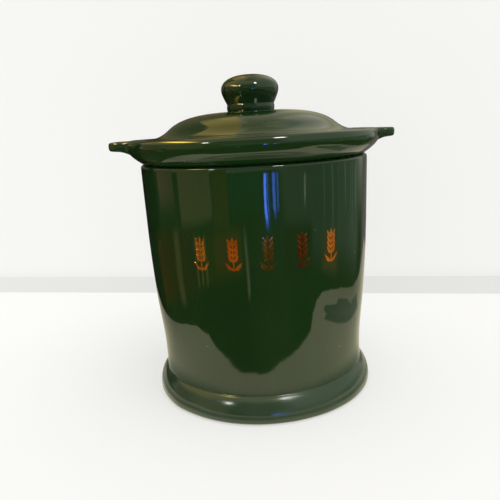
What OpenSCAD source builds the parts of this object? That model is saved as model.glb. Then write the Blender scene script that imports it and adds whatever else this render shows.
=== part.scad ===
// Lidded stoneware crock for bread: a tapered pot with a foot band, a flared
// rim with two lugs, and a loose domed lid with a mushroom knob.
// Millimetres, +Z up. Origin: centre of the foot, on the table.
// The lugs lie on the X axis and the gilt ears face -Y.

/* [Pot wall] */
// Height of the wall's rounded shoulder above the table
wall_h = 250; // [210:1:300]
// Outer radius of the wall at the shoulder
wall_r = 119.5; // [99:0.1:140]
// Outer radius of the wall where it meets the foot band
waist_r = 109.5; // [90:0.1:130]
// Thickness of the fired clay in the wall
wall_t = 8; // [6:0.5:10]
// Thickness of the floor
floor_t = 10; // [7:0.5:14]
// Rounding of the shoulder
shoulder_round = 3; // [2:0.25:4]
// Rounding between the floor and the wall, inside
cove_r = 14; // [6:1:20]

/* [Foot] */
// Height of the foot band
band_h = 27; // [18:0.5:36]
// How far the foot band stands out of the wall
band_out = 9.3; // [5:0.2:11]
// Width of the unglazed ring that stands on the table
foot_ring_w = 14; // [8:1:24]
// Depth of the recess inside the foot ring
foot_recess = 4; // [2:0.5:6]

/* [Rim] */
// Height of the flared rim above the shoulder
rim_h = 25.5; // [20:0.5:34]
// How far the rim flares out beyond the shoulder
rim_flare = 12.7; // [8:0.1:18]
// Depth of the groove between the shoulder and the rim
groove_d = 4.2; // [3.5:0.1:5]
// Depth of the seat that the lid drops into
seat_depth = 7.5; // [6:0.25:10]
// Width of the rim's rolled top, from its outer edge to the seat
rim_top_w = 11.7; // [9:0.1:15]
// Width of the ledge that carries the lid
ledge_w = 11.5; // [8:0.5:16]

/* [Lugs] */
// Distance that a lug stands out of the rim
lug_out = 17.8; // [12:0.2:26]
// Width of a lug along the rim
lug_w = 54; // [36:1:80]
// Thickness of a lug at its tip
lug_t = 9; // [6:0.2:10]
// Rounding of a lug's corners, seen from above
lug_corner_r = 10; // [4:0.5:16]

/* [Lid] */
// Play between the lid's edge and its seat, each side
lid_play = 3; // [1:0.25:5]
// Air left under the lid where it sits on the ledge
lid_air = 0.2; // [0.1:0.05:0.5]
// Height of the dome above the lid's flat edge
dome_h = 24; // [16:0.5:40]
// Thickness of the lid
lid_t = 6.8; // [5:0.1:8.4]

/* [Knob] */
// Radius of the knob's neck
neck_r = 24.7; // [16:0.1:30]
// Height of the neck
neck_h = 7.2; // [4:0.2:12]
// Largest radius of the knob
knob_r = 30.1; // [24:0.1:38]
// Height of the knob above the dome, with its neck
knob_h = 37.3; // [28:0.1:50]

/* [Gilt ears] */
// Height of one wheat ear
ear_h = 33; // [24:1:44]
// Height of the ears' middle above the table
ear_z = 171; // [120:1:190]
// Number of ears in the row
ear_count = 5; // [3:1:7]
// Angle between two ears
ear_step = 15.6; // [14:0.2:20]
// Thickness of the gilding
gilt_t = 0.4; // [0.3:0.1:1]

/* [Hidden] */
$fn = 96;

GLAZE = [0.06, 0.14, 0.09];
GOLD = [0.80, 0.55, 0.20];
CURVE_STEPS = 10;
WALL_STEPS = 16;

rim_z = wall_h + rim_h;
rim_r = wall_r + rim_flare;
groove_r = wall_r - groove_d;
mouth_r = wall_r - wall_t;
seat_r = rim_r - rim_top_w;
seat_z = rim_z - seat_depth;
ledge_r = seat_r - ledge_w;
lid_r = seat_r - lid_play;
lid_z = seat_z + lid_air;
edge_z = lid_z + lid_t;
dome_z = edge_z + dome_h;
floor_z = foot_recess + floor_t;

// Points of a cubic curve from a to d that leaves towards b and arrives from c
function curve(a, b, c, d, steps) = [
    for (i = [0 : steps])
        let (t = i / steps, s = 1 - t)
            s*s*s * a + 3*s*s*t * b + 3*s*t*t * c + t*t*t * d
];

// Points of a circular arc about a centre, from one angle to another
function arc(centre, radius, from, to, steps) = [
    for (i = [0 : steps])
        let (angle = from + (to - from) * i / steps)
            centre + radius * [cos(angle), sin(angle)]
];

function shifted(points, by) = [for (p = points) p + by];
function reversed(points) = [for (i = [len(points) - 1 : -1 : 0]) points[i]];

// The wall's outer line, from the foot band up to the shoulder
wall_rise = wall_h - shoulder_round - band_h;
wall_line = curve(
    [waist_r, band_h],
    [waist_r - 1, band_h + 0.29 * wall_rise],
    [wall_r - 2, band_h + 0.20 * wall_rise],
    [wall_r, wall_h - shoulder_round], WALL_STEPS);

// The whole outside of the wall, from the table to the flat top that carries the rim
wall_outside = concat(
    [[waist_r, 0]],
    wall_line,
    arc([wall_r - shoulder_round, wall_h - shoulder_round], shoulder_round, 15, 90, 5));

// The hollow inside the wall, from the mouth down to the floor
hollow_r = waist_r - wall_t;
wall_inside = concat(
    reversed(shifted(wall_line, [-wall_t, 0])),
    arc([hollow_r - cove_r, floor_z + cove_r], cove_r, 0, -90, 6));

module turned(outline) {
    rotate_extrude()
        polygon(outline);
}

// Pot wall with its floor and the ring it stands on
module crock_wall() {
    color(GLAZE)
        turned(concat(
            [[0, foot_recess],
             [waist_r - foot_ring_w, foot_recess],
             [waist_r - foot_ring_w + 1, 0]],
            wall_outside,
            [[mouth_r, wall_h]],
            wall_inside,
            [[0, floor_z]]));
}

// Raised band round the foot: slopes out below a crease, widest low down
module foot_band() {
    band_r = waist_r + band_out;
    widest_z = 0.165 * band_h;
    color(GLAZE)
        turned(concat(
            [[waist_r, 0.6]],
            curve([band_r - 3, 0.6], [band_r - 1.2, 0.8],
                  [band_r, 0.35 * widest_z], [band_r, widest_z], CURVE_STEPS),
            curve([band_r, widest_z], [band_r, widest_z + 0.37 * band_h],
                  [waist_r + 0.5 * band_out, band_h - 4], [waist_r, band_h], CURVE_STEPS)));
}

// Flared rim: rises out of the groove, rolls over and drops to the lid's seat
function rim_outline() = concat(
    curve([groove_r, wall_h], [groove_r + 6.5, wall_h + 0.17 * rim_h],
          [rim_r, wall_h + 0.42 * rim_h], [rim_r, wall_h + 0.72 * rim_h], CURVE_STEPS),
    curve([rim_r, wall_h + 0.72 * rim_h], [rim_r, rim_z - 2.4],
          [rim_r - 1.8, rim_z], [rim_r - 5.8, rim_z], CURVE_STEPS),
    arc([seat_r + 2, rim_z - 2], 2, 90, 180, 4),
    [[seat_r, seat_z], [ledge_r, seat_z], [ledge_r, seat_z - 4],
     [mouth_r, wall_h + 4], [mouth_r, wall_h]]);

module flared_rim() {
    color(GLAZE)
        turned(rim_outline());
}

// Section through a lug: flat on top, round at the tip, filleted into the flare
function lug_section() =
    let (tip_r = rim_r + lug_out, top_z = rim_z - 0.8,
         low_z = top_z - lug_t, nose = 0.36 * lug_t, root_r = rim_r - 8)
    concat(
        [[root_r, rim_z - 12], [root_r, top_z]],
        arc([tip_r - nose, top_z - nose], nose, 90, 0, 5),
        arc([tip_r - nose, low_z + nose], nose, 0, -80, 5),
        curve([rim_r + 0.42 * lug_out, low_z - 0.8], [rim_r + 0.15 * lug_out, low_z - 1.4],
              [rim_r - 1, low_z - 3], [rim_r - 5, low_z - 5.5], 8));

// Plan of a lug: a tab along +X with round corners at its tip
module lug_plan() {
    tip = rim_r + lug_out;
    side = lug_w / 2 - lug_corner_r;
    translate([0, -lug_w / 2])
        square([tip - lug_corner_r, lug_w]);
    translate([0, -side])
        square([tip, 2 * side]);
    for (y = [-side, side])
        translate([tip - lug_corner_r, y])
            circle(lug_corner_r);
}

module lug(direction) {
    color(GLAZE)
        rotate(direction)
            difference() {
                intersection() {
                    turned(lug_section());
                    translate([0, 0, wall_h])
                        linear_extrude(rim_h + 10)
                            lug_plan();
                }
                turned(rim_outline());
            }
}

// Domed lid: a flat edge in the seat, a hollow sweep up, then a low dome
module lid_dome() {
    bend = [0.76 * lid_r - 2, edge_z + 0.39 * dome_h];
    under = [bend[0] - 3.5, bend[1] - lid_t];
    rise = dome_h;
    color(GLAZE)
        turned(concat(
            [[0, dome_z - lid_t]],
            curve([0.2 * lid_r, dome_z - lid_t], [0.50 * lid_r, dome_z - lid_t],
                  under + [-9, 0.26 * rise], under, CURVE_STEPS),
            curve(under, under + [7, -0.19 * rise],
                  [ledge_r - 10, lid_z], [ledge_r - 3, lid_z], CURVE_STEPS),
            arc([lid_r - 2, lid_z + 2], 2, -90, 0, 4),
            arc([lid_r - 3, edge_z - 3], 3, 0, 90, 4),
            curve([lid_r - 5, edge_z], [lid_r - 16, edge_z],
                  bend + [7.5, -0.27 * rise], bend, CURVE_STEPS),
            curve(bend, bend + [-10, 0.36 * rise],
                  [0.50 * lid_r, dome_z], [neck_r + 2, dome_z], CURVE_STEPS),
            [[0, dome_z]]));
}

// Knob: a short barrel neck, then a bulb with a low crown
module lid_knob() {
    belly_z = dome_z + 0.60 * knob_h;
    top_z = dome_z + knob_h;
    crease = [neck_r, dome_z + neck_h];
    color(GLAZE)
        turned(concat(
            [[0, dome_z]],
            curve([neck_r - 0.3, dome_z], [neck_r + 0.6, dome_z + 0.3 * neck_h],
                  [neck_r + 0.6, dome_z + 0.7 * neck_h], crease, 6),
            curve(crease, crease + [0.4 * (knob_r - neck_r), 4.8],
                  [knob_r, belly_z - 5], [knob_r, belly_z], CURVE_STEPS),
            curve([knob_r, belly_z], [knob_r, belly_z + 0.54 * (top_z - belly_z)],
                  [0.72 * knob_r, top_z], [0, top_z], CURVE_STEPS)));
}

// One grain: the lens shape between two circles, its lower tip on the origin
module grain(length, width) {
    radius = (length * length + width * width) / (4 * width);
    translate([0, length / 2])
        intersection() {
            translate([radius - width / 2, 0])
                circle(radius);
            translate([width / 2 - radius, 0])
                circle(radius);
        }
}

// A wheat ear with two leaves, centred on the origin
module ear() {
    pairs = 4;
    grain_len = 0.24 * ear_h;
    grain_w = 0.092 * ear_h;
    first = 0.30 * ear_h;
    pitch = 0.15 * ear_h;
    stalk_w = 0.045 * ear_h;
    translate([0, -ear_h / 2]) {
        translate([-stalk_w / 2, 0])
            square([stalk_w, 0.85 * ear_h]);
        for (i = [0 : pairs - 1], side = [-1, 1])
            translate([0, first + i * pitch])
                rotate(-side * 40)
                    grain(grain_len, grain_w);
        translate([0, ear_h - grain_len])
            grain(grain_len, grain_w);
        for (side = [-1, 1])
            translate([0, 0.02 * ear_h])
                rotate(-side * 56)
                    grain(0.40 * ear_h, 0.11 * ear_h);
    }
}

// Gilding of one ear, laid on the outside of the wall
module gilt_ear(number) {
    angle = (number - (ear_count + 1) / 2) * ear_step;
    color(GOLD)
        rotate(angle)
            intersection() {
                difference() {
                    turned(concat([[0, 0]], shifted(wall_outside, [gilt_t, 0]),
                                  [[0, wall_h]]));
                    turned(concat([[0, -1]], [[waist_r, -1]], wall_outside,
                                  [[mouth_r, wall_h + 1], [0, wall_h + 1]]));
                }
                translate([0, 0, ear_z])
                    rotate([90, 0, 0])
                        linear_extrude(2 * wall_r)
                            ear();
            }
}

crock_wall();
foot_band();
flared_rim();
lug(180);  // lug_left
lug(0);  // lug_right
lid_dome();
lid_knob();
gilt_ear(1);  // gilt_ear_1
gilt_ear(2);  // gilt_ear_2
gilt_ear(3);  // gilt_ear_3
gilt_ear(4);  // gilt_ear_4
gilt_ear(5);  // gilt_ear_5
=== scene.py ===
import math

import bpy
from mathutils import Matrix, Vector, noise


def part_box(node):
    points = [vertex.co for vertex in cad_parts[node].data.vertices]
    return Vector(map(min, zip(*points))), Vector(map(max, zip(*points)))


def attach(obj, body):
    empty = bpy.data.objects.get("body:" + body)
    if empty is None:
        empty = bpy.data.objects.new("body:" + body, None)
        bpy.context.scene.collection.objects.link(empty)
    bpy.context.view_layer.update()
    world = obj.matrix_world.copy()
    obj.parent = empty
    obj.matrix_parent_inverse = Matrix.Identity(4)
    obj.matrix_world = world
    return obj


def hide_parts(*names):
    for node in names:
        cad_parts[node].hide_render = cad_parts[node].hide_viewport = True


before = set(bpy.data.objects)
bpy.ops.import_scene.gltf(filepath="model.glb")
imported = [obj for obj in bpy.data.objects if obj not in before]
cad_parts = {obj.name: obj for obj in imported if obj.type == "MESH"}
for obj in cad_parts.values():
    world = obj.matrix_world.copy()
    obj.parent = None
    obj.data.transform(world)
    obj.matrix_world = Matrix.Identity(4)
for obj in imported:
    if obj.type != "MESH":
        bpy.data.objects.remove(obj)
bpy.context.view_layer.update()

# A lidded stoneware bread crock in bottle-green glaze. Metres, +Z up, origin at
# the centre of the foot. Outlines are (radius, height) pairs turned about Z.
MM = 0.001

# ---- Sizes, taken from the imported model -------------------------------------
WALL_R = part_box("crock_wall")[1].x
WALL_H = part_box("crock_wall")[1].z
BAND_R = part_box("foot_band")[1].x
BAND_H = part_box("foot_band")[1].z
RIM_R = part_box("flared_rim")[1].x
RIM_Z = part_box("flared_rim")[1].z
LID_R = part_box("lid_dome")[1].x
LID_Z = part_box("lid_dome")[0].z
DOME_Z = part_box("lid_dome")[1].z
KNOB_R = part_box("lid_knob")[1].x
KNOB_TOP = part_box("lid_knob")[1].z
LUG_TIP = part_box("lug_right")[1].x
LUG_HALF_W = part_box("lug_right")[1].y
LUG_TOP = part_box("lug_right")[1].z
EARS = sorted(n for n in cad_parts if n.startswith("gilt_ear_"))
EAR_Z = (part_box(EARS[0])[0].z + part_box(EARS[0])[1].z) / 2
EAR_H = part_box(EARS[0])[1].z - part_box(EARS[0])[0].z

# Sizes inside those boxes, the same as in the design
WALL_T = 8 * MM
WAIST_R = BAND_R - 9.3 * MM
SHOULDER_ROUND = 3 * MM
GROOVE_D = 4.2 * MM
RIM_H = RIM_Z - WALL_H
MOUTH_R = WALL_R - WALL_T
SEAT_R = RIM_R - 11.7 * MM
SEAT_Z = RIM_Z - 7.5 * MM
LEDGE_R = SEAT_R - 11.5 * MM
LID_T = 6.8 * MM
EDGE_Z = LID_Z + LID_T
DOME_H = DOME_Z - EDGE_Z
NECK_R = 24.7 * MM
NECK_H = 7.2 * MM
FLOOR_Z = 14 * MM
FOOT_RING_W = 14 * MM
FOOT_RECESS = 4 * MM
COVE_R = 14 * MM
LUG_T = 9 * MM
LUG_CORNER_R = 10 * MM

# ---- Outlines ----------------------------------------------------------------


def curve(a, b, c, d, steps=24):
    """Points of a cubic curve from a to d that leaves towards b and arrives from c."""
    points = []
    for i in range(steps + 1):
        t = i / steps
        s = 1 - t
        weights = (s ** 3, 3 * s * s * t, 3 * s * t * t, t ** 3)
        points.append(tuple(sum(w * p[k] for w, p in zip(weights, (a, b, c, d))) for k in (0, 1)))
    return points


def arc(centre, radius, start, end, steps=10):
    """Points of an arc about a centre, from one angle to another in degrees."""
    angles = [math.radians(start + (end - start) * i / steps) for i in range(steps + 1)]
    return [(centre[0] + radius * math.cos(a), centre[1] + radius * math.sin(a)) for a in angles]


def line(a, b, spacing=4 * MM):
    """Points along a straight stretch, without its last one."""
    steps = max(1, round(math.dist(a, b) / spacing))
    return [(a[0] + (b[0] - a[0]) * i / steps, a[1] + (b[1] - a[1]) * i / steps) for i in range(steps)]


def wall_line(steps=72):
    """The wall's outer line, from the foot band up to the shoulder."""
    rise = WALL_H - SHOULDER_ROUND - BAND_H
    return curve((WAIST_R, BAND_H), (WAIST_R - 1 * MM, BAND_H + 0.29 * rise),
                 (WALL_R - 2 * MM, BAND_H + 0.20 * rise), (WALL_R, WALL_H - SHOULDER_ROUND), steps)


WALL_LINE = wall_line(400)


def wall_radius(z):
    """Outer radius of the wall at a height."""
    below = max((p for p in WALL_LINE if p[1] <= z), key=lambda p: p[1])
    above = min((p for p in WALL_LINE if p[1] > z), key=lambda p: p[1])
    return below[0] + (above[0] - below[0]) * (z - below[1]) / (above[1] - below[1])


def wall_outline():
    ring_in = WAIST_R - FOOT_RING_W
    ring_out = WAIST_R - 0.5 * MM
    inside = [(r - WALL_T, z) for r, z in reversed(wall_line())]
    hollow_r = inside[-1][0]
    return (line((0, FOOT_RECESS), (ring_in - 2 * MM, FOOT_RECESS))
            + arc((ring_in - 2 * MM, FOOT_RECESS - 2 * MM), 2 * MM, 90, 30, 5)
            + arc((ring_in + 1.5 * MM, 1.5 * MM), 1.5 * MM, 190, 270, 6)
            + arc((ring_out - 2 * MM, 2 * MM), 2 * MM, 270, 360, 6)
            + line((ring_out, 3 * MM), (WAIST_R, BAND_H))
            + wall_line()
            + arc((WALL_R - SHOULDER_ROUND, WALL_H - SHOULDER_ROUND), SHOULDER_ROUND, 8, 90, 10)
            + [(WALL_R - 6 * MM, WALL_H), (MOUTH_R, WALL_H)]
            + inside
            + arc((hollow_r - COVE_R, FLOOR_Z + COVE_R), COVE_R, 0, -90, 12)
            + line((hollow_r - COVE_R - 3 * MM, FLOOR_Z), (0, FLOOR_Z))
            + [(0, FLOOR_Z)])


def band_outline():
    widest = (BAND_R, 0.21 * BAND_H)
    return ([(WAIST_R - 1 * MM, 0.6 * MM)]
            + curve((BAND_R - 3.6 * MM, 0.6 * MM), (BAND_R - 1.6 * MM, 0.7 * MM),
                    (BAND_R, 0.35 * widest[1]), widest, 26)
            + curve(widest, (BAND_R, widest[1] + 0.32 * BAND_H),
                    (WAIST_R + 4.9 * MM, BAND_H - 4.3 * MM), (WAIST_R + 1 * MM, BAND_H - 0.9 * MM), 30)[1:]
            + curve((WAIST_R + 1 * MM, BAND_H - 0.9 * MM), (WAIST_R + 0.5 * MM, BAND_H - 0.45 * MM),
                    (WAIST_R + 0.1 * MM, BAND_H + 0.1 * MM), (WAIST_R - 0.1 * MM, BAND_H + 1.2 * MM), 8)[1:]
            + [(WAIST_R - 1 * MM, BAND_H)])


def rim_outline():
    widest = (RIM_R, WALL_H + 0.72 * RIM_H)
    groove = WALL_R - GROOVE_D
    return (curve((groove, WALL_H - 0.2 * MM), (groove + 6.5 * MM, WALL_H + 0.17 * RIM_H),
                  (RIM_R, WALL_H + 0.42 * RIM_H), widest, 40)
            + curve(widest, (RIM_R, RIM_Z - 2.4 * MM), (RIM_R - 1.8 * MM, RIM_Z),
                    (RIM_R - 5.8 * MM, RIM_Z), 24)[1:]
            + arc((SEAT_R + 2 * MM, RIM_Z - 2 * MM), 2 * MM, 90, 180, 8)
            + line((SEAT_R, RIM_Z - 3 * MM), (SEAT_R, SEAT_Z + 1 * MM), 1 * MM)
            + arc((SEAT_R - 1 * MM, SEAT_Z + 1 * MM), 1 * MM, 0, -90, 5)
            + arc((LEDGE_R + 1.5 * MM, SEAT_Z - 1.5 * MM), 1.5 * MM, 90, 180, 6)
            + [(LEDGE_R, SEAT_Z - 4 * MM), (MOUTH_R, WALL_H + 4 * MM), (MOUTH_R, WALL_H - 0.2 * MM)])


def lid_outline():
    bend = (0.76 * LID_R - 2 * MM, EDGE_Z + 0.39 * DOME_H)
    under = (bend[0] - 3.5 * MM, bend[1] - LID_T)
    ceiling = DOME_Z - LID_T
    return (line((0, ceiling), (0.2 * LID_R, ceiling))
            + curve((0.2 * LID_R, ceiling), (0.50 * LID_R, ceiling),
                    (under[0] - 9 * MM, under[1] + 0.26 * DOME_H), under, 28)
            + curve(under, (under[0] + 7 * MM, under[1] - 0.19 * DOME_H),
                    (LEDGE_R - 10 * MM, LID_Z), (LEDGE_R - 3 * MM, LID_Z), 20)[1:]
            + line((LEDGE_R - 1 * MM, LID_Z), (LID_R - 2 * MM, LID_Z))
            + arc((LID_R - 2 * MM, LID_Z + 2 * MM), 2 * MM, -90, 0, 6)
            + arc((LID_R - 3 * MM, EDGE_Z - 3 * MM), 3 * MM, 0, 90, 8)
            + curve((LID_R - 5 * MM, EDGE_Z), (LID_R - 16 * MM, EDGE_Z),
                    (bend[0] + 7.5 * MM, bend[1] - 0.27 * DOME_H), bend, 36)
            + curve(bend, (bend[0] - 10 * MM, bend[1] + 0.36 * DOME_H),
                    (0.50 * LID_R, DOME_Z), (NECK_R + 2 * MM, DOME_Z), 44)[1:]
            + line((NECK_R, DOME_Z), (0, DOME_Z))
            + [(0, DOME_Z)])


def knob_outline():
    belly_z = DOME_Z + 0.60 * (KNOB_TOP - DOME_Z)
    crease = (NECK_R, DOME_Z + NECK_H)
    return ([(0, DOME_Z - 0.3 * MM)]
            + curve((NECK_R - 0.3 * MM, DOME_Z - 0.3 * MM), (NECK_R + 0.6 * MM, DOME_Z + 0.3 * NECK_H),
                    (NECK_R + 0.6 * MM, DOME_Z + 0.7 * NECK_H), crease, 14)
            + curve(crease, (NECK_R + 2.2 * MM, crease[1] + 4.8 * MM),
                    (KNOB_R, belly_z - 5 * MM), (KNOB_R, belly_z), 24)[1:]
            + curve((KNOB_R, belly_z), (KNOB_R, belly_z + 0.54 * (KNOB_TOP - belly_z)),
                    (0.72 * KNOB_R, KNOB_TOP), (0, KNOB_TOP), 36)[1:])


# ---- Meshes ------------------------------------------------------------------


def mesh_object(name, vertices, faces, crease_deg=38):
    """A smooth-shaded object that keeps edges sharper than crease_deg."""
    mesh = bpy.data.meshes.new(name)
    mesh.from_pydata(vertices, [], faces)
    mesh.validate()
    mesh.shade_smooth()
    mesh.set_sharp_from_angle(angle=math.radians(crease_deg))
    piece = bpy.data.objects.new(name, mesh)
    bpy.context.scene.collection.objects.link(piece)
    return piece


def hand_made(point, amount, size, seed):
    """A point moved in or out a little, the way a hand-finished pot isn't quite round."""
    where = Vector(point) / size + Vector((seed, 0, 0))
    push = 1 + amount * noise.noise(where) / max(math.hypot(point[0], point[1]), 10 * MM)
    return (point[0] * push, point[1] * push, point[2])


def lathe(name, outline, segments=288, closed=False, amount=0.10 * MM, size=45 * MM, seed=0.0):
    """The solid that an outline makes when it is turned about Z.

    An open outline starts and ends on the axis; a closed one is a ring's section.
    """
    vertices = []
    rings = []
    for r, z in outline:
        if r < 1e-7:
            rings.append([len(vertices)])
            vertices.append((0, 0, z))
            continue
        rings.append(list(range(len(vertices), len(vertices) + segments)))
        for k in range(segments):
            angle = 2 * math.pi * k / segments
            point = (r * math.cos(angle), r * math.sin(angle), z)
            vertices.append(hand_made(point, amount, size, seed))
    faces = []
    pairs = list(zip(rings, rings[1:]))
    if closed:
        pairs.append((rings[-1], rings[0]))
    for low, high in pairs:
        for k in range(segments):
            n = (k + 1) % segments
            if len(low) == 1:
                faces.append((low[0], high[n], high[k]))
            elif len(high) == 1:
                faces.append((low[k], low[n], high[0]))
            else:
                faces.append((low[k], low[n], high[n], high[k]))
    return mesh_object(name, vertices, faces)


def lug(name, side):
    """A lug handle: a flat tab that follows the rim, round at its corners and tip."""
    nose = 0.36 * LUG_T
    out = LUG_TIP - RIM_R
    low_tip = LUG_TOP - LUG_T
    under = curve((RIM_R - 8 * MM, low_tip - 6.5 * MM), (RIM_R - 1 * MM, low_tip - 3.5 * MM),
                  (RIM_R + 0.12 * out, low_tip - 1.4 * MM), (RIM_R + 0.45 * out, low_tip - 0.6 * MM), 24)
    under += [(LUG_TIP - nose, low_tip)]

    def low_at(radius):
        for a, b in zip(under, under[1:]):
            if a[0] <= radius <= b[0]:
                return a[1] + (b[1] - a[1]) * (radius - a[0]) / (b[0] - a[0])
        return low_tip

    stations = [RIM_R - 8 * MM + (out + 8 * MM - LUG_CORNER_R) * i / 26 for i in range(26)]
    stations += [LUG_TIP - LUG_CORNER_R * (1 - math.sin(math.pi / 2 * i / 22)) for i in range(23)]
    corner_steps = 7
    vertices = []
    rings = []
    for radius in stations:
        over = max(0.0, radius - (LUG_TIP - LUG_CORNER_R))
        half_w = LUG_HALF_W - LUG_CORNER_R + math.sqrt(max(0.0, LUG_CORNER_R ** 2 - over ** 2))
        over = max(0.0, radius - (LUG_TIP - nose))
        inset = nose - math.sqrt(max(0.0, nose ** 2 - over ** 2))
        flare = max(0.0, 1 - (radius - (RIM_R - 3 * MM)) / (9 * MM))
        half_w += 3.5 * MM * min(1.0, flare) ** 2
        top = LUG_TOP - inset
        low = low_at(radius) + inset
        round_r = min(2.8 * MM, 0.47 * (top - low))
        ring = []
        corners = ((half_w - round_r, top - round_r, 0), (-half_w + round_r, top - round_r, 90),
                   (-half_w + round_r, low + round_r, 180), (half_w - round_r, low + round_r, 270))
        for cy, cz, start in corners:
            for i in range(corner_steps + 1):
                angle = math.radians(start + 90 * i / corner_steps)
                y = cy + round_r * math.cos(angle)
                z = cz + round_r * math.sin(angle)
                x = math.sqrt(radius ** 2 - y ** 2)
                ring.append(len(vertices))
                vertices.append(hand_made((side * x, side * y, z), 0.5 * MM, 22 * MM, 3.0 + side))
        rings.append(ring)
    count = len(rings[0])
    faces = [tuple(reversed(rings[0])), tuple(rings[-1])]
    for low_ring, high_ring in zip(rings, rings[1:]):
        for k in range(count):
            n = (k + 1) % count
            faces.append((low_ring[k], low_ring[n], high_ring[n], high_ring[k]))
    return mesh_object(name, vertices, faces, 50)


# ---- Gilt ears ---------------------------------------------------------------


def leaf_shape(length, width, steps=14, fullest=0.42):
    """Half-widths of a grain or leaf along its length, pointed at both ends."""
    shape = []
    for i in range(steps + 1):
        t = i / steps
        bulge = math.sin(math.pi * t ** (math.log(0.5) / math.log(fullest)))
        shape.append((t * length, max(0.0, bulge) ** 0.85 * width / 2))
    return shape


def gilt_pad(vertices, faces, shape, origin, turn_deg, bend, angle, film=0.16 * MM):
    """One grain, leaf or stalk: a thin film with soft edges, laid on the wall.

    shape is a list of (distance, half width) pairs along the pad's own line, which
    starts at origin, points turn_deg to the side of straight up and bends as it goes.
    """
    levels = ((1.0, -0.10 * MM), (1.0, 0.45 * film), (0.92, 0.9 * film), (0.5, film))
    rows = []
    for distance, half in shape:
        lean = math.radians(turn_deg) + bend * distance / shape[-1][0]
        u = origin[0] + distance * math.sin(lean)
        v = origin[1] + distance * math.cos(lean)
        across = (math.cos(lean), -math.sin(lean))
        row = []
        offsets = [(-w, h) for w, h in levels] + [(0.0, film * 1.02)] + [(w, h) for w, h in reversed(levels)]
        for w, h in offsets:
            pu = u + across[0] * half * w
            pv = v + across[1] * half * w
            z = EAR_Z + pv
            radius = wall_radius(z)
            theta = angle + pu / radius
            radius += h
            row.append(len(vertices))
            vertices.append((radius * math.sin(theta), -radius * math.cos(theta), z))
        rows.append(row)
    count = len(rows[0])
    for a, b in zip(rows, rows[1:]):
        for k in range(count):
            n = (k + 1) % count
            faces.append((a[k], a[n], b[n], b[k]))
    faces.append(tuple(reversed(rows[0])))
    faces.append(tuple(rows[-1]))


def gilt_ear(name, angle):
    """A wheat ear with two leaves in fired gilding."""
    vertices = []
    faces = []
    base = -EAR_H / 2

    def pad(shape, v, turn_deg, bend=0.0, u=0.0):
        gilt_pad(vertices, faces, shape, (u * EAR_H, base + v * EAR_H), turn_deg, bend, angle)

    stalk = [(t / 8 * 0.84 * EAR_H, 0.020 * EAR_H) for t in range(9)]
    pad(stalk, 0.0, 0)
    grain = leaf_shape(0.27 * EAR_H, 0.086 * EAR_H)
    for i in range(4):
        for side in (-1, 1):
            pad(grain, 0.26 + 0.155 * i, side * 47, -side * 0.30, side * 0.012)
    pad(grain, 0.73, 0)
    leaf = leaf_shape(0.36 * EAR_H, 0.085 * EAR_H, 18, 0.40)
    for side in (-1, 1):
        pad(leaf, 0.01, side * 62, -side * 0.35)
    return mesh_object(name, vertices, faces, 20)


# ---- Materials ---------------------------------------------------------------


class Nodes:
    """A short way to wire a node material."""

    def __init__(self, name):
        self.material = bpy.data.materials.new(name)
        self.material.use_nodes = True
        self.tree = self.material.node_tree
        self.shader = self.tree.nodes["Principled BSDF"]
        self.place = self.add("ShaderNodeTexCoord").outputs["Object"]

    def add(self, kind, **inputs):
        node = self.tree.nodes.new(kind)
        for key, value in inputs.items():
            self.set(node.inputs[key.replace("_", " ")], value)
        return node

    def set(self, socket, value):
        if isinstance(value, bpy.types.NodeSocket):
            self.tree.links.new(value, socket)
        else:
            socket.default_value = value

    def noise(self, scale, detail=3.0, stretch=None):
        node = self.add("ShaderNodeTexNoise", Scale=scale, Detail=detail)
        self.set(node.inputs["Vector"], self.stretched(stretch) if stretch else self.place)
        return node.outputs["Fac"]

    def stretched(self, scale):
        node = self.add("ShaderNodeMapping")
        self.set(node.inputs["Vector"], self.place)
        node.inputs["Scale"].default_value = scale
        return node.outputs["Vector"]

    def ramp(self, factor, stops):
        node = self.add("ShaderNodeValToRGB")
        self.set(node.inputs["Fac"], factor)
        elements = node.color_ramp.elements
        while len(elements) < len(stops):
            elements.new(0.5)
        for element, (position, colour) in zip(elements, stops):
            element.position = position
            element.color = colour if len(colour) == 4 else (*colour, 1)
        return node.outputs["Color"]

    def span(self, factor, low, high):
        node = self.add("ShaderNodeMapRange")
        self.set(node.inputs["Value"], factor)
        node.inputs["From Min"].default_value = 0.3
        node.inputs["From Max"].default_value = 0.7
        node.inputs["To Min"].default_value = low
        node.inputs["To Max"].default_value = high
        return node.outputs["Result"]

    def mix(self, factor, a, b):
        node = self.tree.nodes.new("ShaderNodeMix")
        node.data_type = "RGBA"
        self.set(node.inputs[0], factor)
        self.set(node.inputs[6], a)
        self.set(node.inputs[7], b)
        return node.outputs[2]

    def bump(self, height, distance, strength=1.0, normal=None):
        node = self.add("ShaderNodeBump", Height=height)
        node.inputs["Distance"].default_value = distance
        node.inputs["Strength"].default_value = strength
        if normal is not None:
            self.set(node.inputs["Normal"], normal)
        return node.outputs["Normal"]

    def specks(self, scale, radius):
        """1 inside sparse small round spots, 0 elsewhere."""
        node = self.add("ShaderNodeTexVoronoi", Scale=scale)
        self.set(node.inputs["Vector"], self.place)
        return self.ramp(node.outputs["Distance"], [(0.0, (1, 1, 1)), (radius, (0, 0, 0))])


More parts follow.
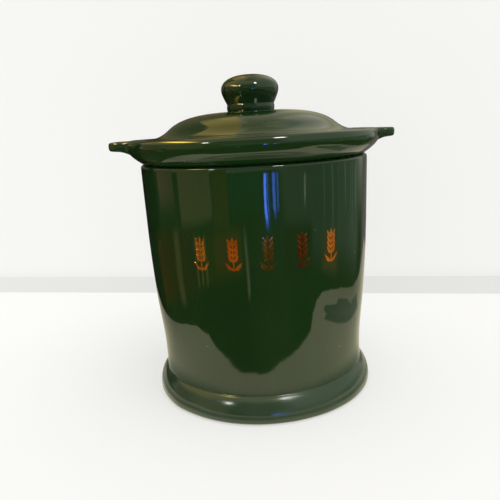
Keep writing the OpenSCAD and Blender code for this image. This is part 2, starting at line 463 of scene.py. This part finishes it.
def glaze_material(name, dark, light, smoothest, roughest):
    """Deep bottle-green gloss glaze: faint mottling and runs, pinholes, a slight ripple."""
    n = Nodes(name)
    body = n.ramp(n.noise(9, 5), [(0.3, dark), (0.7, light)])
    runs = n.noise(30, 4, (1, 1, 0.12))
    body = n.mix(n.ramp(runs, [(0.45, (0, 0, 0)), (0.8, (0.5, 0.5, 0.5))]), body, (0.012, 0.031, 0.009, 1))
    pits = n.specks(46, 0.045)
    body = n.mix(pits, body, (0.28, 0.31, 0.24, 1))
    n.set(n.shader.inputs["Base Color"], body)
    n.set(n.shader.inputs["Roughness"], n.span(n.noise(24, 6), smoothest, roughest))
    n.shader.inputs["IOR"].default_value = 1.55
    ripple = n.bump(n.noise(22, 2, (1, 1, 0.5)), 0.5 * MM, 0.35)
    peel = n.bump(n.noise(160, 2), 0.05 * MM, 0.35, ripple)
    n.set(n.shader.inputs["Normal"], n.bump(pits, -0.2 * MM, 1.0, peel))
    return n.material


def clay_material():
    """Bare fired stoneware where the foot stood in the kiln."""
    n = Nodes("bare_stoneware")
    buff = n.ramp(n.noise(60, 8), [(0.3, (0.36, 0.25, 0.16)), (0.7, (0.52, 0.40, 0.27))])
    grog = n.specks(420, 0.22)
    n.set(n.shader.inputs["Base Color"], n.mix(grog, buff, (0.20, 0.12, 0.07, 1)))
    n.set(n.shader.inputs["Roughness"], n.span(n.noise(90, 4), 0.75, 0.92))
    n.set(n.shader.inputs["Normal"], n.bump(n.noise(600, 6), 0.25 * MM, 0.6))
    return n.material


def gilt_material():
    """Fired gilding: copper-gold, brushed on upright and a little worn."""
    n = Nodes("fired_gilding")
    tone = n.ramp(n.noise(130, 5, (1, 1, 0.35)), [(0.25, (0.55, 0.20, 0.045)), (0.75, (0.86, 0.44, 0.11))])
    worn = n.ramp(n.noise(420, 8), [(0.66, (0, 0, 0)), (0.74, (1, 1, 1))])
    n.set(n.shader.inputs["Base Color"], n.mix(worn, tone, (0.20, 0.075, 0.02, 1)))
    n.shader.inputs["Metallic"].default_value = 1.0
    n.set(n.shader.inputs["Roughness"], n.span(n.noise(300, 5), 0.05, 0.14))
    strokes = n.bump(n.noise(90, 2, (1, 1, 0.12)), 0.10 * MM, 0.30)
    n.set(n.shader.inputs["Normal"], n.bump(n.noise(900, 3), 0.006 * MM, 0.3, strokes))
    return n.material


GLAZE = glaze_material("bottle_green_glaze", dark=(0.0048, 0.0205, 0.0040), light=(0.0075, 0.0285, 0.0060),
                       smoothest=0.035, roughest=0.075)
FOOT_GLAZE = glaze_material("scuffed_foot_glaze", dark=(0.0150, 0.0360, 0.0150),
                            light=(0.0270, 0.0520, 0.0260), smoothest=0.10, roughest=0.26)
CLAY = clay_material()
GILT = gilt_material()


def finish_piece(piece, body, node, materials):
    for material in materials:
        piece.data.materials.append(material)
    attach(piece, body)
    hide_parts(node)


# ---- The object --------------------------------------------------------------


def bare_foot(piece, height):
    """Leaves the clay bare on the underside, below a height."""
    for face in piece.data.polygons:
        if face.center.z < height and face.normal.z < -0.3:
            face.material_index = 1


def build_crock():
    wall = lathe("pot_wall", wall_outline(), amount=0.25 * MM, seed=1.7)
    finish_piece(wall, "crock", "crock_wall", [GLAZE, CLAY])
    bare_foot(wall, FOOT_RECESS + 1 * MM)
    band = lathe("foot_moulding", band_outline(), closed=True, amount=0.45 * MM, size=26 * MM, seed=1.7)
    finish_piece(band, "crock", "foot_band", [FOOT_GLAZE])
    rim = lathe("rolled_rim", rim_outline(), closed=True, amount=0.35 * MM, size=60 * MM, seed=4.2)
    finish_piece(rim, "crock", "flared_rim", [GLAZE])
    for name, side, node in (("lug_handle_left", -1, "lug_left"), ("lug_handle_right", 1, "lug_right")):
        finish_piece(lug(name, side), "crock", node, [GLAZE])
    for i, node in enumerate(EARS):
        low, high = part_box(node)
        angle = math.atan2((low.x + high.x) / 2, -(low.y + high.y) / 2)
        finish_piece(gilt_ear("gilt_wheat_%d" % (i + 1), angle), "crock", node, [GILT])


def build_lid():
    dome = lathe("domed_lid", lid_outline(), amount=0.20 * MM, size=60 * MM, seed=7.9)
    finish_piece(dome, "lid", "lid_dome", [GLAZE])
    knob = lathe("mushroom_knob", knob_outline(), segments=200, amount=0.12 * MM, size=30 * MM, seed=9.3)
    finish_piece(knob, "lid", "lid_knob", [GLAZE])


build_crock()
build_lid()

# ---- Camera ------------------------------------------------------------------
# The camera looks a little down on the crock, which is turned a little to its left.
CROCK_TURN = 4.3
CAMERA_DISTANCE = 609.4 * MM
CAMERA_HEIGHT = 283.1 * MM
CAMERA_DOWN = 12.43
CAMERA_ROLL = -3.21
CAMERA_YAW = -0.86
LENS_MM = 40.28


def add_camera():
    turn = math.radians(-CROCK_TURN)
    yaw = math.radians(CAMERA_YAW)
    down = math.radians(CAMERA_DOWN)
    roll = math.radians(CAMERA_ROLL)
    forward = Vector((math.sin(yaw) * math.cos(down), math.cos(yaw) * math.cos(down), -math.sin(down)))
    right = Vector((math.cos(yaw), -math.sin(yaw), 0))
    up = right.cross(forward)
    x_axis = math.cos(roll) * right + math.sin(roll) * up
    y_axis = -math.sin(roll) * right + math.cos(roll) * up
    spin = Matrix.Rotation(turn, 3, "Z")
    columns = [spin @ v for v in (x_axis, y_axis, -forward)]
    matrix = Matrix(columns).transposed().to_4x4()
    matrix.translation = spin @ Vector((0, -CAMERA_DISTANCE, CAMERA_HEIGHT))
    camera = bpy.data.objects.new("camera", bpy.data.cameras.new("camera"))
    camera.data.lens = LENS_MM
    camera.data.sensor_width = 36
    camera.data.clip_start = 0.01
    camera.matrix_world = matrix
    bpy.context.scene.collection.objects.link(camera)
    bpy.context.scene.camera = camera


add_camera()

# ---- Studio ------------------------------------------------------------------


def backdrop_material(name, grey, glow):
    """Matt pale paper, with a little light of its own so that shadows stay pale."""
    n = Nodes(name)
    tones = [(0.3, (grey - 0.01, grey - 0.01, grey - 0.015)), (0.7, (grey, grey, grey - 0.005))]
    n.set(n.shader.inputs["Base Color"], n.ramp(n.noise(2, 2), tones))
    n.shader.inputs["Roughness"].default_value = 0.8
    n.shader.inputs["Specular IOR Level"].default_value = 0.0
    n.shader.inputs["Emission Color"].default_value = (1.0, 1.0, 0.985, 1)
    n.shader.inputs["Emission Strength"].default_value = glow
    return n.material


def glow_material(name, colour):
    """Light that only the gloss sees, as strong at each point as the mesh's glow there."""
    material = bpy.data.materials.new(name)
    material.use_nodes = True
    tree = material.node_tree
    tree.nodes.clear()
    strength = max(colour)
    emission = tree.nodes.new("ShaderNodeEmission")
    emission.inputs["Color"].default_value = (*(c / strength for c in colour), 1)
    emission.inputs["Strength"].default_value = strength
    clear = tree.nodes.new("ShaderNodeBsdfTransparent")
    glow = tree.nodes.new("ShaderNodeAttribute")
    glow.attribute_name = "glow"
    mix = tree.nodes.new("ShaderNodeMixShader")
    output = tree.nodes.new("ShaderNodeOutputMaterial")
    tree.links.new(glow.outputs["Fac"], mix.inputs["Fac"])
    tree.links.new(clear.outputs["BSDF"], mix.inputs[1])
    tree.links.new(emission.outputs["Emission"], mix.inputs[2])
    tree.links.new(mix.outputs["Shader"], output.inputs["Surface"])
    return material


def only_in_gloss(panel, colour, glow):
    """Lights a panel and hides it from everything but reflections."""
    panel.data.attributes.new("glow", "FLOAT", "POINT").data.foreach_set("value", glow)
    panel.data.materials.append(glow_material(panel.name, colour))
    panel.visible_camera = False
    panel.visible_diffuse = False
    panel.visible_transmission = False
    panel.visible_volume_scatter = False
    panel.visible_shadow = False


def heading(azimuth, elevation):
    """Direction at an azimuth to the right of the camera's side, and an elevation."""
    a = math.radians(azimuth)
    e = math.radians(elevation)
    out = Vector((math.sin(a) * math.cos(e), -math.cos(a) * math.cos(e), math.sin(e)))
    return Matrix.Rotation(math.radians(-CROCK_TURN), 3, "Z") @ out


def ease(distance, width):
    """0 at an edge, 1 from a width inside it."""
    t = min(1.0, distance / width) if width > 0 else 1.0
    return t * t * (3 - 2 * t)


def sheet(name, place, across, along, colour, soft):
    """A panel in the gloss; place turns two numbers in the two ranges into a point.

    soft gives how far the glow fades in from both sides, from the low end and from the high end.
    """
    columns = 48
    rows = 30
    vertices = []
    glow = []
    faces = []
    for j in range(rows + 1):
        for i in range(columns + 1):
            u = across[0] + (across[1] - across[0]) * i / columns
            v = along[0] + (along[1] - along[0]) * j / rows
            vertices.append(place(u, v))
            sides = min(u - across[0], across[1] - u)
            glow.append(ease(sides, soft[0]) * ease(v - along[0], soft[1]) * ease(along[1] - v, soft[2]))
    for j in range(rows):
        for i in range(columns):
            k = j * (columns + 1) + i
            faces.append((k, k + 1, k + columns + 2, k + columns + 1))
    only_in_gloss(mesh_object(name, vertices, faces), colour, glow)


def card(name, azimuths, elevations, colour, distance, soft=(1.0, 1.0)):
    """A curved panel round the crock, between two azimuths and two elevations in degrees."""
    sheet(name, lambda azimuth, elevation: Vector((0, 0, 0.15)) + distance * heading(azimuth, elevation),
          azimuths, elevations, colour, (soft[0], soft[1], soft[1]))


def overhead(name, rights, aways, colour, height, soft):
    """A level panel above the crock, between distances to the right and away from the camera."""
    spin = Matrix.Rotation(math.radians(-CROCK_TURN), 3, "Z")
    sheet(name, lambda right, away: spin @ Vector((right, away, height)), rights, aways, colour, soft)


def add_far_room():
    """What the gloss sees all round: a dim kitchen with a light ceiling, lighter to the right."""
    card("room_low", (-180, 180), (-89.9, 1), (0.055, 0.06, 0.025), 6.0, (0, 1))
    card("room_high", (-180, 180), (-1, 89.9), (0.34, 0.33, 0.25), 5.9, (0, 1))
    card("ceiling", (-180, 180), (18, 89.9), (0.92, 0.86, 0.55), 5.8, (0, 22))
    card("right_room", (18, 175), (-12, 70), (0.70, 0.74, 0.62), 5.5, (18, 14))
    card("right_low", (22, 128), (-21, 8), (0.24, 0.29, 0.22), 5.4, (10, 9))
    card("right_edge", (132, 174), (-70, 18), (0.22, 0.19, 0.18), 3.5, (6, 10))
    card("front_shade", (-42, 26), (-2, 44), (0.24, 0.26, 0.20), 5.3, (12, 12))
    card("left_shade", (-178, -114), (-26, 22), (0.012, 0.003, 0.006), 5.2, (3, 6))


def add_behind():
    """What the lid's dome sees behind the crock, with an olive stretch of ceiling."""
    card("behind_grey", (148, 190), (-4, 80), (0.56, 0.53, 0.36), 5.1, (8, 8))
    card("behind_dark", (-188, -160), (6, 45), (0.16, 0.12, 0.06), 5.0, (6, 8))
    card("behind_left_dark", (-168, -124), (-2, 64), (0.17, 0.15, 0.09), 4.95, (5, 12))
    card("behind_right_light", (128, 168), (22, 60), (1.0, 0.97, 0.80), 4.9, (9, 10))
    overhead("olive_ceiling", (-1.20, -0.23), (0.0, 4.0), (1.32, 0.94, 0.31), 2.7, (0.07, 0.4, 2.6))


def add_left_side():
    """What the wall sees to the left: a door, a curtain, warm walls and a gold lamp close by."""
    card("left_red", (-128, -60), (-23, -9), (0.14, 0.035, 0.008), 4.8, (6, 4))
    card("left_strip", (-95, -84), (-24, -10), (0.42, 0.29, 0.12), 4.7, (4, 3))
    card("low_olive", (-62, -14), (-22, -11), (0.17, 0.13, 0.01), 4.6, (8, 4))
    card("door", (-111, -85), (-9.5, 16), (0.37, 0.22, 0.14), 4.5, (2, 4))
    card("curtain", (-80, -42), (-11.5, 18), (0.46, 0.36, 0.17), 4.4, (2, 2))
    card("olive_wall", (-42, -26), (-14, 10), (0.22, 0.15, 0.03), 4.3, (1, 3))
    card("green_gap", (-26, 7), (-12, 1), (0.04, 0.14, 0.08), 4.2, (3, 4))
    card("gold_wall", (-134, -54), (16, 66), (1.25, 0.86, 0.34), 4.1, (16, 14))
    overhead("gold_lamp", (-0.32, -0.20), (-0.29, 0.02), (22, 15.5, 3.2), 0.45, (0.035, 0.14, 0.17))


def add_daylight():
    """Slits of blue daylight near the middle, thin pale edges, and the slats of a blind."""
    slits = ((8.6, 3.0, 1.0), (11.9, 1.3, 0.45), (13.7, 1.0, 0.16), (16.6, 3.2, 0.42), (20.4, 2.2, 0.25))
    for k, (side, width, power) in enumerate(slits):
        blue = (1.2 * power, 3.2 * power, 16 * power)
        card("blue_slit_%d" % k, (side, side + width), (-11.8 + 0.5 * k, -2), blue, 3.8, (0.7, 1.5))
    card("thin_light", (-14, -10.5), (-25, -12), (0.75, 0.72, 0.45), 3.6, (1.2, 3))
    card("thin_light_right", (46.6, 48.6), (-9, -4), (1.6, 1.8, 1.5), 3.6, (0.7, 1.5))
    for k in range(9):
        start = 68 + 6.2 * k + 2.2 * math.sin(2.3 * k)
        width = 1.6 + 1.1 * math.sin(4.1 * k)
        low = -13 + 3 * math.sin(1.7 * k)
        card("blind_slat_%d" % k, (start, start + width), (low, 3), (0.46, 0.60, 0.54), 3.3, (0.5, 5))


def add_gilt_lights():
    """What the gilt ears see: warm light at both ends of the row and dark between."""
    card("gilt_light_left", (-46, -14), (-19.5, -12), (0.36, 0.15, 0.03), 3.4, (5, 2))
    card("gilt_dark", (22, 58), (-21, -9), (0.07, 0.025, 0.02), 3.42, (6, 3))
    card("gilt_light_right", (63, 90), (-20, -11), (0.50, 0.27, 0.11), 3.4, (9, 2))
    for k in range(3):
        start = -66 + 5.5 * k
        card("gilt_slat_%d" % k, (start, start + 2.6), (-20.5, -12), (0.70, 0.46, 0.16), 3.4, (0.6, 1.5))


def add_lamps():
    """Two bright ceiling lamps, seen as sharp highlights."""
    card("lamp_left", (-46.5, -38.5), (23, 31), (30, 30, 29), 3.0, (2, 2))
    card("lamp_right", (21, 35.5), (42, 54.5), (34, 34, 33), 3.0, (3, 3))


def patch_on_table(name, edge, height, colour, glow, middle):
    """A flat outline just above the floor; middle is its centre point and glow there."""
    spin = Matrix.Rotation(math.radians(-CROCK_TURN), 3, "Z")
    vertices = [spin @ Vector((x, y, height)) for x, y in edge + [middle[0]]]
    centre = len(edge)
    faces = [(k, (k + 1) % centre, centre) for k in range(centre)]
    only_in_gloss(mesh_object(name, vertices, faces), colour, glow + [middle[1]])


def add_table_top():
    """The pale table as the gloss sees it: it ends a little in front of the crock."""
    edge = [(-0.28, 0.30), (-0.277, 0.03), (-0.268, -0.07), (-0.244, -0.131), (-0.19, -0.168),
            (-0.148, -0.168), (-0.10, -0.184), (-0.03, -0.201), (0.045, -0.204), (0.115, -0.191),
            (0.172, -0.186), (0.228, -0.216), (0.29, -0.226), (0.345, -0.208), (0.385, -0.14),
            (0.402, -0.05), (0.385, 0.09), (0.40, 0.24), (0.52, 0.60), (-0.25, 0.60)]
    glow = [max(0.36, min(1.0, 0.45 - 3.0 * y)) for x, y in edge]
    patch_on_table("table_in_gloss", edge, 0.2 * MM, (1.30, 1.20, 0.86), glow, ((0, 0), 0.8))


def add_thing_on_table():
    """Something low and dark that stands on the table to the right."""
    edge = [(0.240, -0.150), (0.262, -0.142), (0.272, -0.170), (0.296, -0.165), (0.318, -0.085),
            (0.345, -0.075), (0.340, 0.010), (0.318, 0.030), (0.330, 0.14), (0.262, 0.12), (0.248, 0.0)]
    glow = [0.9] * len(edge)
    patch_on_table("thing_on_table", edge, 0.5 * MM, (0.22, 0.27, 0.20), glow, ((0.285, -0.03), 0.75))


def add_shade_by_foot():
    """A ring of the table close to the foot, in the crock's own shade."""
    sheet("shade_by_foot", lambda azimuth, radius: radius * heading(azimuth, 0) + Vector((0, 0, 0.4 * MM)),
          (-120, 120), (0.130, 0.182), (0.36, 0.40, 0.30), (25, 0.004, 0.034))


def add_paper(name, profile, grey, glow):
    """A pale sheet with a profile of (distance behind the crock, height) points."""
    slant = Matrix.Rotation(math.radians(-10.6 - CROCK_TURN), 3, "Z")
    vertices = [slant @ Vector((x, y, z)) for y, z in profile for x in (-8.0, 8.0)]
    faces = [(2 * k, 2 * k + 1, 2 * k + 3, 2 * k + 2) for k in range(len(profile) - 1)]
    paper = mesh_object(name, vertices, faces, 60)
    paper.data.materials.append(backdrop_material(name, grey, glow))
    paper.visible_glossy = False


def add_backdrop():
    """White paper that turns up from the floor behind the crock, with painted shade along the bend: a darker
    grey sheet standing at its foot.

    It stands close, as in the photo, so a camera further behind the crock sees only paper.
    """
    sweep = 0.012
    back = 0.33
    floor = [(-8.0, 0.0), (-1.0, 0.0), (0.0, 0.0)]
    turn = [(back - sweep + p[0], sweep + p[1]) for p in arc((0, 0), sweep, -90, 0, 14)]
    add_paper("paper_sweep", floor + turn + [(back, 1.0), (back, 8.0)], 0.50, 0.45)
    # Painted shade: a darker grey sheet, 30 mm tall, standing where the floor starts to turn up into the
    # wall.
    add_paper("painted_cove_shade", [(back - sweep, 0.3 * MM), (back - sweep, 30 * MM)], 0.42, 0.41)


def add_lights():
    world = bpy.data.worlds.new("studio")
    world.use_nodes = True
    background = world.node_tree.nodes["Background"]
    background.inputs["Color"].default_value = (1.0, 1.0, 0.985, 1)
    background.inputs["Strength"].default_value = 0.86
    bpy.context.scene.world = world
    sun = bpy.data.objects.new("soft_key", bpy.data.lights.new("soft_key", "SUN"))
    sun.data.energy = 0.8
    sun.data.angle = math.radians(50)
    sun.data.color = (1.0, 0.97, 0.93)
    sun.visible_glossy = False
    sun.rotation_euler = Vector(heading(35, 62)).to_track_quat("Z", "Y").to_euler()
    bpy.context.scene.collection.objects.link(sun)


add_far_room()
add_behind()
add_left_side()
add_daylight()
add_gilt_lights()
add_lamps()
add_table_top()
add_thing_on_table()
add_shade_by_foot()
add_backdrop()
add_lights()
bpy.context.scene.view_settings.view_transform = "Standard"
